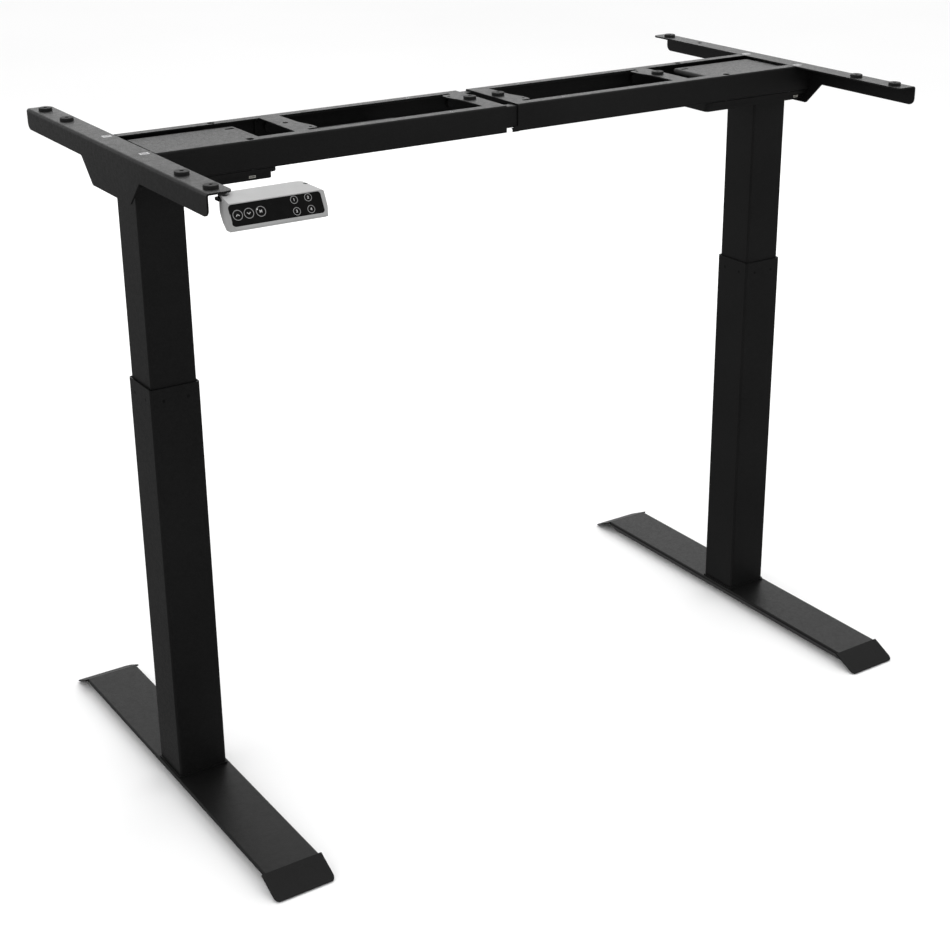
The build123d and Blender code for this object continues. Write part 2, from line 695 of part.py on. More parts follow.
def handset_case():
    top_y, top_z = HANDSET_PANEL_TOP
    low_y, low_z = HANDSET_PANEL_BOTTOM
    outside = Polygon(
        (HANDSET_BACK, HANDSET_TOP),
        (top_y, HANDSET_TOP),
        (low_y - 1.8, low_z - 2.5),
        (low_y - 1.4, low_z - 4.1),
        (low_y + 0.8, low_z - 5.0),
        (-337.0, 925.0),
        (-316.0, 922.0),
        (-298.0, 927.5),
        (-285.5, 936.0),
        (-281.5, 947.0),
        align=None,
    )
    under = HANDSET_TOP - HANDSET_TOP_WALL
    inside = Polygon(
        (HANDSET_BACK - HANDSET_WALL, under),
        (top_y + 3.2, under),
        (low_y + 4.0, low_z - 1.0),
        (low_y + 4.6, low_z - 2.6),
        (-336.0, 927.3),
        (-316.0, 924.4),
        (-299.2, 929.6),
        (-287.6, 937.4),
        (-283.8, 947.5),
        align=None,
    )
    body = handset_body(outside, HANDSET_TOP, 0.0)
    body -= panel_solid(0.0)
    body -= handset_body(inside, under + 20, HANDSET_WALL)
    middle, spacing, y, radius = HANDSET_HOLES
    for sign in (-1, 1):
        body -= rod(radius, 915, HANDSET_TOP + 1, middle + sign * spacing / 2, y)
    tab_x, tab_y, thickness = HANDSET_TAB
    neck_x, neck_front, _ = HANDSET_TAB_NECK
    slot_low = under - thickness - 0.2
    body -= block((tab_x[0] - 8, tab_x[1] - 8), (tab_y[0] - 0.2, tab_y[1] + 0.2), (slot_low, under))
    body -= block((neck_x[0] - 0.2, neck_x[1] + 0.2), (tab_y[1] - 1, neck_front + 5), (slot_low, under))
    radius, _, depth = HANDSET_SCREW
    for y in HANDSET_SCREW_YS:
        body -= rod(radius, under - 1, under + depth, HANDSET_SCREW_X, y)
    return body


def panel_solid(shrink):
    """Black key panel let into the slanted front of the case."""
    top_y, top_z = HANDSET_PANEL_TOP
    low_y, low_z = HANDSET_PANEL_BOTTOM
    length = sqrt((top_y - low_y) ** 2 + (top_z - low_z) ** 2)
    plane = Plane(
        origin=((PANEL_X[0] + PANEL_X[1]) / 2, (top_y + low_y) / 2, (top_z + low_z) / 2),
        x_dir=(1, 0, 0),
        z_dir=(0, low_z - top_z, top_y - low_y),
    )
    outline = RectangleRounded(PANEL_X[1] - PANEL_X[0] - 2 * shrink, length - 2 * shrink, 4.0)
    panel = extrude(plane * outline, -PANEL_THICKNESS)
    return panel if shrink else panel + extrude(plane * outline, 3.0)


def handset_board():
    """Touch board lying against the inside of the wall that carries the key panel."""
    top_y, top_z = HANDSET_PANEL_TOP
    low_y, low_z = HANDSET_PANEL_BOTTOM
    high, low, thickness = 951.0, 936.0, 1.8
    under = HANDSET_TOP - HANDSET_TOP_WALL
    slope = (top_y + 3.2 - low_y - 4.0) / (under - low_z + 1.0)
    high_y = top_y + 3.2 + (high - under) * slope
    bottom_y = top_y + 3.2 + (low - under) * slope
    profile = Polygon(
        (high_y, high),
        (high_y + thickness, high),
        (bottom_y + thickness, low),
        (bottom_y, low),
        align=None,
    )
    length = PANEL_X[1] - PANEL_X[0] - 12
    return Pos(PANEL_X[0] + 6, 0, 0) * extrude(Plane.YZ * profile, length, dir=(1, 0, 0))


def handset_tab():
    """Folded strip welded under the bracket's flange; its foot reaches into the case."""
    x, y, thickness = HANDSET_TAB
    neck_x, neck_front, neck_back = HANDSET_TAB_NECK
    top = HANDSET_TOP - HANDSET_TOP_WALL
    tab = block(x, y, (top - thickness, top))
    tab = fillet(tab.edges().filter_by(Axis.Z).group_by(Axis.X)[0], 4.0)
    tab += block(neck_x, (y[1] - 2, neck_back), (top - thickness, top))
    tab += block(neck_x, (neck_front, neck_back), (top - thickness, FRAME_TOP - HEAVY_SHEET))
    for screw_y in HANDSET_SCREW_YS:
        tab -= rod(HANDSET_SCREW[0], top - thickness - 1, top + 1, HANDSET_SCREW_X, screw_y)
    middle, spacing, hole_y, radius = HANDSET_HOLES
    return tab - rod(radius, top - thickness - 1, top + 1, middle - spacing / 2, hole_y)


def handset_screws():
    under = HANDSET_TOP - HANDSET_TOP_WALL
    seat = under - HANDSET_TAB[2]
    radius, head_radius, depth = HANDSET_SCREW
    screws = []
    for y in HANDSET_SCREW_YS:
        shank = rod(radius, seat, under + depth, HANDSET_SCREW_X, y)
        screws.append(shank + rod(head_radius, seat - 1.8, seat, HANDSET_SCREW_X, y))
    return group(screws)


# ---------------------------------------------------------------- assembly

for side, sign in SIDES.items():
    at_column = Pos(sign * COLUMN_X, 0, 0)
    save(at_column * foot(), f"foot_{side}")
    save(at_column * base_with_push_tube(), f"base_plate_with_push_tube_{side}")
    save(foot_bolts(sign * COLUMN_X), f"foot_bolts_{side}")
    save(at_column * lower_column(), f"lower_column_{side}")
    save(at_column * upper_glides(), f"upper_glides_{side}")
    save(at_column * spindle_nut(), f"spindle_nut_{side}")
    for end, end_sign in ENDS.items():
        save(at_column * Pos(0, end_sign * LEVELLER_Y, 0) * leveller(), f"levelling_foot_{side}_{end}")

    save(at_column * upper_column(), f"upper_column_{side}")
    save(at_column * lower_glides(), f"lower_glides_{side}")
    save(at_column * spindle(), f"spindle_{side}")
    save(at_column * bevel_wheel(), f"bevel_wheel_{side}")
    at_right = Pos(COLUMN_X, 0, 0)
    save(on_side(at_right * bevel_pinion(), side), f"bevel_pinion_{side}")
    save(at_column * spindle_bearing(), f"spindle_bearing_{side}")
    save(on_side(at_right * gearbox(), side), f"gearbox_{side}")
    save(on_side(at_right * motor(), side), f"motor_{side}")

    save(on_side(motor_tray(side), side), f"motor_tray_{side}")
    save(on_side(motor_socket(side), side), f"motor_socket_{side}")
    save(on_side(head_plate(), side), f"head_plate_{side}")
    for end in ENDS:
        rail = on_side(at_end(outer_rail(side, end), end), side)
        save(rail, f"{end}_rail_{side}")
    save(on_side(side_bracket(), side), f"side_bracket_{side}")
    save(on_side(beam_screws(), side), f"beam_screws_{side}")

    outer_x, inner_x = CROSS_PLATE_XS
    ears = ("front", "back") if side == "left" else ("back", "front")
    plates = [cross_plate(sign * outer_x, ears[0]), cross_plate(sign * inner_x, ears[1])]
    save(group(plates), f"cross_plates_{side}")

    pads = []
    for end_sign in ENDS.values():
        for y in PAD_YS:
            empty_hole = side == "right" and end_sign * y == PAD_YS[1]
            if not empty_hole:
                pads.append(pad(sign * PAD_X, end_sign * y, HEAVY_SHEET))
    pads.append(pad(sign * inner_x, CROSS_PLATE_HOLE_Y, SHEET))
    if side == "right":
        pads.append(pad(outer_x, CROSS_PLATE_HOLE_Y, SHEET))
    save(group(pads), f"rubber_pads_{side}")

for end in ENDS:
    save(slide_rail(end), f"slide_rail_{end}")
save(control_case(), "control_box_case")
save(control_lid(), "control_box_lid")
save(handset_case(), "handset_case")
save(panel_solid(0.15), "handset_panel")
save(handset_board(), "handset_board")
save(handset_tab(), "handset_tab")
save(handset_screws(), "handset_screws")
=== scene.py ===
import math

import bpy
from mathutils import Matrix, Vector


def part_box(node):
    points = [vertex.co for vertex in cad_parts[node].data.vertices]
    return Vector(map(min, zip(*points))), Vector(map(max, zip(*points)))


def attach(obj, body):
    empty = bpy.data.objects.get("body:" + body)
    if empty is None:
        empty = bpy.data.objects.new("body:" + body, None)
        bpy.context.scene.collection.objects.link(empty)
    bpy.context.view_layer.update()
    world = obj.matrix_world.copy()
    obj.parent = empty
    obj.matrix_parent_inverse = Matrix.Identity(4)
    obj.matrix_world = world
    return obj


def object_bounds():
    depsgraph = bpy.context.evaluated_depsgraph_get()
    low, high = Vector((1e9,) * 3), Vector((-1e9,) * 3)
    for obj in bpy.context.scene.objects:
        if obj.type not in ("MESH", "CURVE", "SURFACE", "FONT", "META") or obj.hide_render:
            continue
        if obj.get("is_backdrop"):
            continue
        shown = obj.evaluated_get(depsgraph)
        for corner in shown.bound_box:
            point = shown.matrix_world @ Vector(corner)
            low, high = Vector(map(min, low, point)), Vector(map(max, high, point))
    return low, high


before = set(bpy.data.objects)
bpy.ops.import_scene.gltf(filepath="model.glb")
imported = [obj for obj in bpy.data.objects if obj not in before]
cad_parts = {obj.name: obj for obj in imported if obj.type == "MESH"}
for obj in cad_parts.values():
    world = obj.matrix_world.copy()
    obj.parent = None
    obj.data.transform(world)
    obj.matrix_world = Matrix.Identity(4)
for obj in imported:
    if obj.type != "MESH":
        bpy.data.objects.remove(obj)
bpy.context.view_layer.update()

bpy.ops.object.select_all(action="DESELECT")

# ---------------------------------------------------------------------------
# Feet and base plates: long folded sheets with the columns' base plates bolted
# on top. Blasted steel, dry-coated with a fine textured black powder, which
# cures with a slight orange peel and a satin sheen.

SIDES = ("left", "right")


class Signal:
    """A socket in a material's node tree; arithmetic on it adds Math nodes."""

    def __init__(self, tree, socket):
        self.tree = tree
        self.socket = socket

    def node(self, kind, settings=None, sockets=None, out=0):
        """Any other node: its settings first, then the values or links of its sockets."""
        made = self.tree.nodes.new(kind)
        for name, value in (settings or {}).items():
            setattr(made, name, value)
        for name, value in (sockets or {}).items():
            if isinstance(value, Signal):
                self.tree.links.new(value.socket, made.inputs[name])
            else:
                made.inputs[name].default_value = value
        return Signal(self.tree, made.outputs[out])

    def math(self, operation, first, second):
        return self.node("ShaderNodeMath", {"operation": operation}, {0: first, 1: second})

    def __add__(self, other):
        return self.math("ADD", self, other)

    def __radd__(self, other):
        return self.math("ADD", other, self)

    def __sub__(self, other):
        return self.math("SUBTRACT", self, other)

    def __rsub__(self, other):
        return self.math("SUBTRACT", other, self)

    def __mul__(self, other):
        return self.math("MULTIPLY", self, other)

    def __rmul__(self, other):
        return self.math("MULTIPLY", other, self)

    def __gt__(self, other):
        return self.math("GREATER_THAN", self, other)

    def __lt__(self, other):
        return self.math("LESS_THAN", self, other)

    def __abs__(self):
        return self.math("ABSOLUTE", self, 0.0)


def new_finish(name):
    """A material with its principled shader, and the coordinates its patterns read."""
    material = bpy.data.materials.new(name)
    material.use_nodes = True
    tree = material.node_tree
    place = tree.nodes.new("ShaderNodeTexCoord").outputs["Object"]
    return material, tree.nodes["Principled BSDF"], Signal(tree, place)


def feed(shader, socket, signal):
    """Links a pattern to one socket of a shader."""
    signal.tree.links.new(signal.socket, shader.inputs[socket])


def noise(place, scale, detail=2.0, roughness=0.5):
    """Soft random pattern; its scale is the number of cells in a metre."""
    sockets = {"Vector": place, "Scale": scale, "Detail": detail, "Roughness": roughness}
    return place.node("ShaderNodeTexNoise", {}, sockets)


def stretched(signal, low, high):
    """The part of a pattern between two values, spread over 0 to 1."""
    sockets = {"Value": signal, "From Min": low, "From Max": high}
    return signal.node("ShaderNodeMapRange", {"clamp": True}, sockets)


def colours(factor, first, second):
    """Mix of two colours, each three numbers or another signal."""
    pair = [c if isinstance(c, Signal) else (*c, 1.0) for c in (first, second)]
    sockets = {0: factor, 6: pair[0], 7: pair[1]}
    return factor.node("ShaderNodeMix", {"data_type": "RGBA"}, sockets, out=2)


def relief(height, strength, distance):
    """A bump of the surface, its distance in metres."""
    sockets = {"Height": height, "Strength": strength, "Distance": distance}
    return height.node("ShaderNodeBump", {}, sockets)


def axis_of(place, name):
    """One coordinate of a place, X, Y or Z."""
    return place.node("ShaderNodeSeparateXYZ", {}, {"Vector": place}, out="XYZ".index(name))


def dress(material, *nodes):
    """Gives one finish to every material slot of the named CAD pieces."""
    for node in nodes:
        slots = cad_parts[node].data.materials
        if not slots:
            slots.append(material)
        for index in range(len(slots)):
            slots[index] = material


POWDER_DARK = (0.0022, 0.0022, 0.0022)
POWDER_LIGHT = (0.0085, 0.0085, 0.0085)
POWDER_GRAIN, ORANGE_PEEL, COAT_CLOUD = 640.0, 150.0, 6.0
COAT_ROUGHNESS, COAT_SPECULAR = 0.34, 0.14
BARE_STEEL, BARE_ROUGHNESS = (0.62, 0.62, 0.63), 0.33


def powder_coat(name, bare=None):
    """Textured black coat; bare is a mask of where the steel shows."""
    material, shader, place = new_finish(name)
    grain = noise(place, POWDER_GRAIN, 3.0, 0.7)
    peel = noise(place, ORANGE_PEEL, 2.0)
    cloud = stretched(noise(place, COAT_CLOUD, 3.0), 0.3, 0.7)
    speck = stretched(grain, 0.42, 0.7)
    tone = speck * 0.6 + cloud * 0.3
    colour = colours(tone, POWDER_DARK, POWDER_LIGHT)
    rough = speck * 0.16 + stretched(peel, 0.35, 0.65) * 0.06 + COAT_ROUGHNESS
    if bare is not None:
        shown = bare(place)
        colour = colours(shown, colour, BARE_STEEL)
        rough = rough * (1 - shown) + shown * BARE_ROUGHNESS
        feed(shader, "Metallic", shown)
    feed(shader, "Base Color", colour)
    feed(shader, "Roughness", rough)
    feed(shader, "Normal", relief(grain * 0.8 + peel * 0.5, 0.4, 0.0004))
    shader.inputs["Specular IOR Level"].default_value = COAT_SPECULAR
    return material


coat = powder_coat("powder_coat")
for side in SIDES:
    dress(coat, f"foot_{side}", f"base_plate_with_push_tube_{side}")

# ---------------------------------------------------------------------------
# Levelling feet: black nylon pads moulded on zinc-plated studs, with a thin
# lock nut on each stud against the boss inside the foot.

ENDS = ("front", "back")
MM = 0.001
ZINC_DARK, ZINC_LIGHT = (0.34, 0.34, 0.35), (0.62, 0.62, 0.64)
ZINC_CRYSTALS, ZINC_STAIN = 420.0, 60.0


def zinc(name):
    """Bright zinc plate, dull in places."""
    material, shader, place = new_finish(name)
    crystals = noise(place, ZINC_CRYSTALS, 2.0)
    stain = stretched(noise(place, ZINC_STAIN, 3.0), 0.35, 0.7)
    feed(shader, "Base Color", colours(stain, ZINC_DARK, ZINC_LIGHT))
    feed(shader, "Roughness", stretched(crystals, 0.3, 0.7) * 0.18 + 0.24)
    feed(shader, "Normal", relief(crystals, 0.12, 0.0002))
    shader.inputs["Metallic"].default_value = 1.0
    return material


plated = zinc("zinc_plate")
NYLON, NYLON_WORN = (0.012, 0.012, 0.0125), (0.03, 0.03, 0.031)
NYLON_GRAIN = 380.0
STUD_FOOT = 4.6 * MM


def leveller_finish():
    """Nylon up to the shoulder of the pad, zinc on the stud above it."""
    material, shader, place = new_finish("nylon_pad_and_stud")
    stud = axis_of(place, "Z") > STUD_FOOT
    mould = noise(place, NYLON_GRAIN, 3.0, 0.6)
    plastic = colours(stretched(mould, 0.35, 0.7), NYLON, NYLON_WORN)
    feed(shader, "Base Color", colours(stud, plastic, ZINC_LIGHT))
    feed(shader, "Metallic", stud)
    feed(shader, "Roughness", stretched(mould, 0.3, 0.7) * 0.15 + 0.5 - stud * 0.2)
    feed(shader, "Normal", relief(mould, 0.25, 0.0003))
    return material


nylon = leveller_finish()
NUT_RADIUS, NUT_BORE, NUT_EDGE = 6.6 * MM, 4.05 * MM, 0.35 * MM
NUT_LOW, NUT_HIGH = 5.0 * MM, 6.9 * MM


def lock_nut(name, x, y):
    """Thin hexagon nut: a drilled prism with its outer corners bevelled."""
    thickness = NUT_HIGH - NUT_LOW
    middle = (x, y, (NUT_LOW + NUT_HIGH) / 2)
    bpy.ops.mesh.primitive_cylinder_add(
        vertices=6, radius=NUT_RADIUS, depth=thickness, location=middle
    )
    nut = bpy.context.object
    nut.name = name
    bpy.ops.object.transform_apply(location=True, rotation=True, scale=True)
    bpy.ops.object.mode_set(mode="EDIT")
    bpy.ops.mesh.select_all(action="SELECT")
    bpy.ops.mesh.bevel(offset=NUT_EDGE, segments=2, affect="EDGES")
    bpy.ops.object.mode_set(mode="OBJECT")
    bpy.ops.mesh.primitive_cylinder_add(
        vertices=32, radius=NUT_BORE, depth=4 * thickness, location=middle
    )
    drill = bpy.context.object
    cut = nut.modifiers.new("thread_bore", "BOOLEAN")
    cut.object = drill
    cut.solver = "EXACT"
    bpy.context.view_layer.objects.active = nut
    bpy.ops.object.modifier_apply(modifier=cut.name)
    bpy.data.objects.remove(drill)
    bpy.ops.object.select_all(action="DESELECT")
    nut.data.materials.append(plated)
    return nut


for side in SIDES:
    for end in ENDS:
        stud = f"levelling_foot_{side}_{end}"
        dress(nylon, stud)
        low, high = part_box(stud)
        middle = (low + high) / 2
        nut = lock_nut(f"lock_nut_{side}_{end}", middle.x, middle.y)
        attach(nut, f"leveller_{side}_{end}")
    dress(plated, f"foot_bolts_{side}")

# ---------------------------------------------------------------------------
# Columns: two coated square tubes each. The inner one runs in a glide collar
# of black acetal clipped into the mouth of the outer one.

PLASTIC_FLOW, PLASTIC_GRAIN = 120.0, 900.0
PLASTIC_SPECULAR, GLIDE_SPECULAR = 0.5, 0.07
BLACK_ACETAL = ((0.0015, 0.0015, 0.0015), (0.004, 0.004, 0.004))


def moulded_plastic(name, shades, rough, specular=PLASTIC_SPECULAR):
    """Injection moulding between two shades, with faint flow marks."""
    material, shader, place = new_finish(name)
    flow = noise(place, PLASTIC_FLOW, 3.0)
    grain = noise(place, PLASTIC_GRAIN, 2.0)
    feed(shader, "Base Color", colours(stretched(flow, 0.35, 0.7), *shades))
    feed(shader, "Roughness", stretched(grain, 0.3, 0.7) * 0.12 + rough)
    feed(shader, "Normal", relief(grain, 0.12, 0.0002))
    shader.inputs["Specular IOR Level"].default_value = specular
    return material


glide = moulded_plastic("black_acetal", BLACK_ACETAL, 0.42, GLIDE_SPECULAR)
for side in SIDES:
    dress(coat, f"lower_column_{side}", f"upper_column_{side}")
    dress(glide, f"upper_glides_{side}", f"lower_glides_{side}")

# ---------------------------------------------------------------------------
# Drive inside each column: a rolled spindle turns in an acetal nut and is
# driven by bevel gears in a die-cast box, with the motor lying in the beam.

# Two shades, and how fine the turning rings are.
SPINDLE_STEEL = ((0.2, 0.2, 0.2), (0.45, 0.44, 0.43), 140.0)
GEAR_STEEL = ((0.16, 0.155, 0.15), (0.36, 0.35, 0.34), 320.0)
RACE_STEEL = ((0.4, 0.4, 0.41), (0.65, 0.65, 0.66), 500.0)
OIL_SMEAR = 45.0
NATURAL_ACETAL = ((0.55, 0.54, 0.5), (0.68, 0.67, 0.63))


def turned_steel(name, dark, light, ring):
    """Oiled steel with the fine rings that a lathe leaves round an upright axis."""
    material, shader, place = new_finish(name)
    rings = place.node(
        "ShaderNodeTexWave",
        {"wave_type": "BANDS", "bands_direction": "Z"},
        {"Vector": place, "Scale": ring, "Distortion": 0.6, "Detail": 1.0},
        out=1,
    )
    smear = stretched(noise(place, OIL_SMEAR, 3.0), 0.35, 0.7)
    feed(shader, "Base Color", colours(smear, dark, light))
    feed(shader, "Roughness", rings * 0.1 + smear * 0.12 + 0.2)
    feed(shader, "Normal", relief(rings, 0.15, 0.0003))
    shader.inputs["Metallic"].default_value = 1.0
    return material


spindle_steel = turned_steel("rolled_spindle", *SPINDLE_STEEL)
gear_steel = turned_steel("gear_steel", *GEAR_STEEL)
race_steel = turned_steel("bearing_race", *RACE_STEEL)
nut_acetal = moulded_plastic("natural_acetal", NATURAL_ACETAL, 0.38)

CASTING_DARK, CASTING_LIGHT = (0.36, 0.365, 0.37), (0.52, 0.525, 0.53)
CASTING_SKIN, CASTING_FLOW = 300.0, 30.0


def die_cast(name):
    """Dull zinc skin of a die casting."""
    material, shader, place = new_finish(name)
    skin = noise(place, CASTING_SKIN, 4.0, 0.65)
    flow = stretched(noise(place, CASTING_FLOW, 3.0), 0.3, 0.7)
    feed(shader, "Base Color", colours(flow, CASTING_DARK, CASTING_LIGHT))
    feed(shader, "Roughness", stretched(skin, 0.3, 0.7) * 0.2 + 0.42)
    feed(shader, "Normal", relief(skin, 0.35, 0.0004))
    shader.inputs["Metallic"].default_value = 1.0
    return material


ENAMEL_DARK, ENAMEL_LIGHT = (0.004, 0.004, 0.0042), (0.012, 0.012, 0.0125)
ENAMEL_SKIN, ENAMEL_WEAR, ENAMEL_SPECULAR = 240.0, 25.0, 0.3


def black_enamel(name):
    """Thin black enamel over turned or drawn steel."""
    material, shader, place = new_finish(name)
    skin = noise(place, ENAMEL_SKIN, 3.0)
    wear = stretched(noise(place, ENAMEL_WEAR, 3.0), 0.4, 0.75)
    feed(shader, "Base Color", colours(wear, ENAMEL_DARK, ENAMEL_LIGHT))
    feed(shader, "Roughness", stretched(skin, 0.3, 0.7) * 0.15 + 0.36)
    feed(shader, "Normal", relief(skin, 0.2, 0.0003))
    shader.inputs["Specular IOR Level"].default_value = ENAMEL_SPECULAR
    return material


casting = die_cast("gearbox_casting")
enamel = black_enamel("motor_enamel")
for side in SIDES:
    dress(spindle_steel, f"spindle_{side}")
    dress(gear_steel, f"bevel_wheel_{side}", f"bevel_pinion_{side}")
    dress(race_steel, f"spindle_bearing_{side}")
    dress(nut_acetal, f"spindle_nut_{side}")
    dress(casting, f"gearbox_{side}")
    dress(enamel, f"motor_{side}")

# ---------------------------------------------------------------------------
# Motor trays and head plates: a pressed pan closes each end of the beam from
# below, a folded plate covers the motor from above. The lead plugs into an
# ivory connector in the front wall of the pan.

IVORY_NYLON = ((0.27, 0.265, 0.24), (0.34, 0.335, 0.305))
connector = moulded_plastic("ivory_nylon", IVORY_NYLON, 0.45)
for side in SIDES:
    dress(coat, f"motor_tray_{side}", f"head_plate_{side}")
    dress(connector, f"motor_socket_{side}")

# ---------------------------------------------------------------------------
# Beam: C rails in two halves over a pair of inner slide rails, with welded
# cross plates. Each rail locates in a slot of the bracket by a tab, whose top
# is ground bare after welding.

TAB_X, TAB_Y, TAB_TOP = 564.0 * MM, 62.0 * MM, 963.9 * MM
TAB_HALF = (6.2 * MM, 5.2 * MM)
TAB_CORE, CORE_HAZE = (4.7 * MM, 3.4 * MM), 0.75
GRINDING = 260.0


def ground_tab(place):
    """Where the grinder has cut through: bright along the tab's edges, hazy inside."""
    x, y, z = (axis_of(place, name) for name in "XYZ")
    along, across = abs(abs(x) - TAB_X), abs(abs(y) - TAB_Y)
    tab = (along < TAB_HALF[0]) * (across < TAB_HALF[1]) * (z > TAB_TOP)
    core = (along < TAB_CORE[0]) * (across < TAB_CORE[1])
    worn = stretched(noise(place, GRINDING, 2.0), 0.35, 0.6)
    return tab * (1 - core * CORE_HAZE) * (worn * 0.5 + 0.5)


rail_coat = powder_coat("powder_coat_ground_tabs", ground_tab)
for side in SIDES:
    dress(rail_coat, f"front_rail_{side}", f"back_rail_{side}")
    dress(coat, f"cross_plates_{side}", f"side_bracket_{side}")
    dress(plated, f"beam_screws_{side}")
for end in ENDS:
    dress(coat, f"slide_rail_{end}")

# ---------------------------------------------------------------------------
# Rubber pads: moulded black buffers pressed into the brackets and the cross
# plates, with a hole for the screw that goes up into the table top.

RUBBER_DARK, RUBBER_LIGHT = (0.004, 0.004, 0.004), (0.011, 0.011, 0.011)
RUBBER_BLOOM, RUBBER_GRAIN, RUBBER_SPECULAR = 90.0, 800.0, 0.25


def moulded_rubber(name):
    """Matt rubber with the pale bloom that comes up with age."""
    material, shader, place = new_finish(name)
    bloom = stretched(noise(place, RUBBER_BLOOM, 3.0), 0.35, 0.7)
    grain = noise(place, RUBBER_GRAIN, 3.0, 0.6)
    feed(shader, "Base Color", colours(bloom, RUBBER_DARK, RUBBER_LIGHT))
    feed(shader, "Roughness", stretched(grain, 0.3, 0.7) * 0.15 + 0.55)
    feed(shader, "Normal", relief(grain, 0.3, 0.0003))
    shader.inputs["Specular IOR Level"].default_value = RUBBER_SPECULAR
    return material


rubber = moulded_rubber("moulded_rubber")
for side in SIDES:
    dress(rubber, f"rubber_pads_{side}")

# ---------------------------------------------------------------------------
# Control box: a case and its clipped lid, both moulded in black plastic. It
# stands on the lower flanges of the rails, inside the left half of the beam.

BLACK_ABS = ((0.008, 0.008, 0.008), (0.018, 0.018, 0.018))
moulding = moulded_plastic("black_abs", BLACK_ABS, 0.5)
dress(moulding, "control_box_case", "control_box_lid")

# ---------------------------------------------------------------------------
# Handset: a light grey moulded case with a glossy black key panel, held on a
# coated tab of the left bracket by two screws.

GREY_DARK, GREY_LIGHT = (0.285, 0.285, 0.285), (0.315, 0.315, 0.315)
GREY_FLOW, GREY_SPARK = 40.0, 1100.0


def grey_moulding(name):
    """Light grey plastic with the fine texture of a sparked mould."""
    material, shader, place = new_finish(name)
    flow = stretched(noise(place, GREY_FLOW, 2.0), 0.3, 0.7)
    spark = noise(place, GREY_SPARK, 2.0, 0.6)
    feed(shader, "Base Color", colours(flow, GREY_DARK, GREY_LIGHT))
    feed(shader, "Roughness", stretched(spark, 0.3, 0.7) * 0.12 + 0.4)
    feed(shader, "Normal", relief(spark, 0.1, 0.0002))
    return material


FILM_DARK, FILM_LIGHT = (0.002, 0.002, 0.002), (0.0035, 0.0035, 0.0035)
FILM_HAZE, FILM_WAVE, FILM_SPECULAR = 70.0, 200.0, 0.06


def panel_film(name):
    """Smooth black film that covers the keys."""
    material, shader, place = new_finish(name)
    haze = stretched(noise(place, FILM_HAZE, 3.0), 0.35, 0.7)
    feed(shader, "Base Color", colours(haze, FILM_DARK, FILM_LIGHT))
    feed(shader, "Roughness", haze * 0.08 + 0.22)
    feed(shader, "Normal", relief(noise(place, FILM_WAVE, 2.0), 0.03, 0.0003))
    shader.inputs["Specular IOR Level"].default_value = FILM_SPECULAR
    return material


MASK_GREEN, TRACK_GREEN = (0.01, 0.09, 0.035), (0.02, 0.16, 0.06)
BOARD_TRACKS, BOARD_HAZE = 260.0, 300.0


def solder_mask(name):
    """Green lacquer of a circuit board, paler over the copper tracks."""
    material, shader, place = new_finish(name)
    sockets = {"Vector": place, "Scale": BOARD_TRACKS}
    tracks = place.node("ShaderNodeTexVoronoi", {"feature": "DISTANCE_TO_EDGE"}, sockets)
    feed(shader, "Base Color", colours(stretched(tracks, 0.02, 0.08), TRACK_GREEN, MASK_GREEN))
    feed(shader, "Roughness", stretched(noise(place, BOARD_HAZE), 0.3, 0.7) * 0.1 + 0.3)
    feed(shader, "Normal", relief(tracks, 0.2, 0.0002))
    return material


dress(grey_moulding("grey_abs"), "handset_case")
dress(panel_film("gloss_panel"), "handset_panel")
dress(solder_mask("solder_mask"), "handset_board")
dress(coat, "handset_tab")
dress(plated, "handset_screws")

# ---------------------------------------------------------------------------
# Table screws of the handset: two socket screws that stand in the holes
# of the case and go up into the table top. Their black is painted shade: it stands in for the
# shade inside the holes.

HANDSET_HOLES = {"left": (-564.3, -297.5), "right": (-458.1, -297.5)}
CASE_TOP = 958.5
SCREW_RADIUS, SCREW_LENGTH, SCREW_PROUD = 2.75, 6.0, 0.1
SOCKET_RIM, SOCKET_DEPTH = 1.2, 1.6
# painted shade: the screws' black finish stands in for the shade inside the case's holes
hole_shade_black = black_enamel("black_hole_shade_screw")


def table_screw(name, x, y):
    """Short cylinder with a round socket sunk in its top."""
    z = CASE_TOP + SCREW_PROUD - SCREW_LENGTH / 2
    bpy.ops.mesh.primitive_cylinder_add(
        vertices=36,
        radius=SCREW_RADIUS * MM,
        depth=SCREW_LENGTH * MM,
        location=(x * MM, y * MM, z * MM),
    )
    screw = bpy.context.object
    screw.name = name
    bpy.ops.object.transform_apply(location=True, rotation=True, scale=True)
    bpy.ops.object.mode_set(mode="EDIT")
    bpy.ops.mesh.select_all(action="DESELECT")
    bpy.ops.object.mode_set(mode="OBJECT")
    for face in screw.data.polygons:
        face.select = face.normal.z > 0.9
    bpy.ops.object.mode_set(mode="EDIT")
    bpy.ops.mesh.inset(thickness=SOCKET_RIM * MM)
    bpy.ops.mesh.extrude_region_move(TRANSFORM_OT_translate={"value": (0, 0, -SOCKET_DEPTH * MM)})
    bpy.ops.object.mode_set(mode="OBJECT")
    # painted shade: black where the shade inside the hole would be
    screw.data.materials.append(hole_shade_black)
    bpy.ops.object.select_all(action="DESELECT")
    return screw


for side, (x, y) in HANDSET_HOLES.items():
    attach(table_screw(f"handset_table_screw_{side}", x, y), "left_frame")

# ---------------------------------------------------------------------------
# Keys of the handset: the film has no moving keys, only printed rings with a
# mark in each. The ink stands a little proud of the film.

PANEL_TOP = Vector((-518.0, -335.5, 957.3)) * MM
PANEL_FOOT = Vector((-518.0, -347.6, 933.6)) * MM
PANEL_UP = (PANEL_TOP - PANEL_FOOT).normalized()
PANEL_OUT = Vector((1, 0, 0)).cross(PANEL_UP)
INK_LIFT = 0.06 * MM
INK_THICKNESS = 0.12 * MM
INK_DOTS = 1500.0


